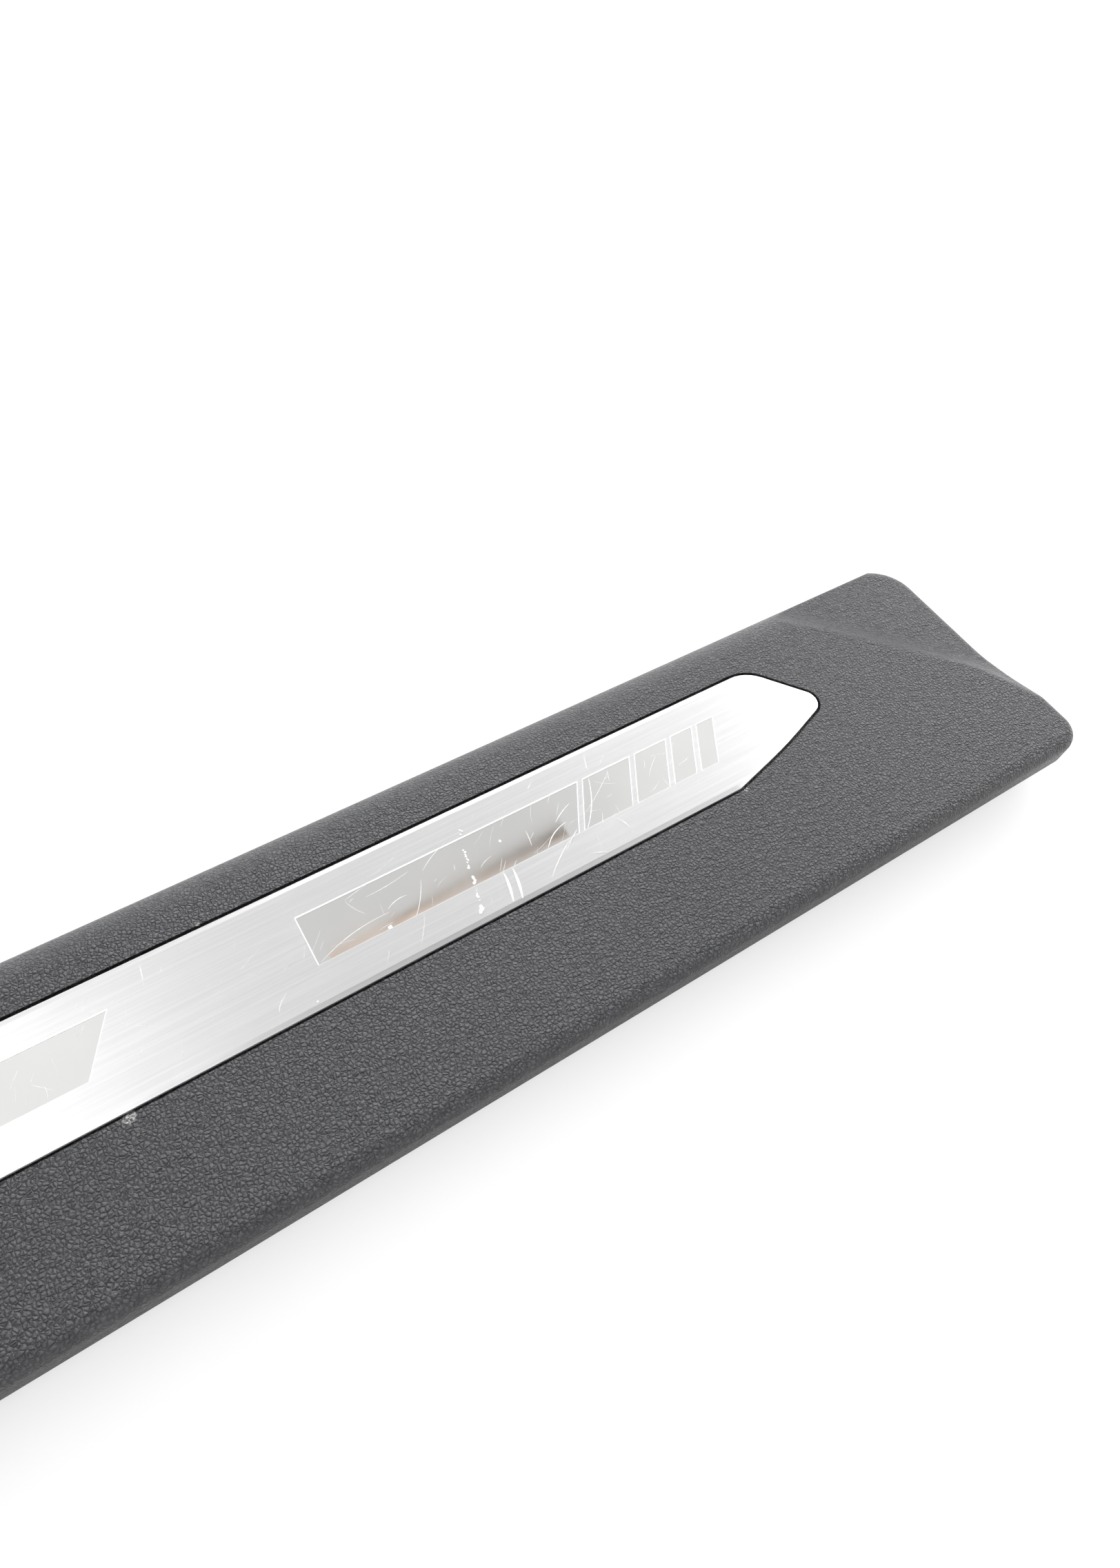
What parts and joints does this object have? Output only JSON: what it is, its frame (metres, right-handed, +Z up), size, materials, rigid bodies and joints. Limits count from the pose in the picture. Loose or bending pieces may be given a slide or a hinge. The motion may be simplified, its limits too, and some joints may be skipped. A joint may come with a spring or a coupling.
{
  "type": "car door sill plate",
  "caption": "Front door sill trim of a car: grained moulded plastic cover with a brushed aluminium insert, held by push-in clips underneath.",
  "frame": {"origin": "under the middle of the trim, on the plane that the clip tips stand on", "axes": "+X along the trim towards the end with the lower shelf, +Y towards the broadly rolled long edge, +Z up out of the visible face"},
  "size_m": [0.616, 0.1082, 0.0252],
  "materials": {
    "grained_plastic": "fine leather grain, satin",
    "brushed_aluminium": "brushed along its length, polished fields and bevel",
    "tape": "thin white foam tape",
    "clip_plastic": "natural nylon, smooth",
    "seal_rubber": "soft matt rubber",
    "foam": "open-cell foam"
  },
  "bodies": {
    "root": {"sill_cover": "grained_plastic", "trim_insert": "brushed_aluminium", "adhesive_tape_near": "tape", "adhesive_tape_far": "tape", "retaining_clip_1": "clip_plastic", "clip_seal_1": "seal_rubber", "retaining_clip_2": "clip_plastic", "clip_seal_2": "seal_rubber", "retaining_clip_3": "clip_plastic", "clip_seal_3": "seal_rubber", "retaining_clip_4": "clip_plastic", "clip_seal_4": "seal_rubber", "retaining_clip_5": "clip_plastic", "clip_seal_5": "seal_rubber", "retaining_clip_6": "clip_plastic", "clip_seal_6": "seal_rubber", "retaining_clip_7": "clip_plastic", "clip_seal_7": "seal_rubber", "retaining_clip_8": "clip_plastic", "clip_seal_8": "seal_rubber", "foam_pad_1": "foam", "foam_pad_2": "foam", "foam_pad_3": "foam", "foam_pad_4": "foam"}
  },
  "joints": []
}
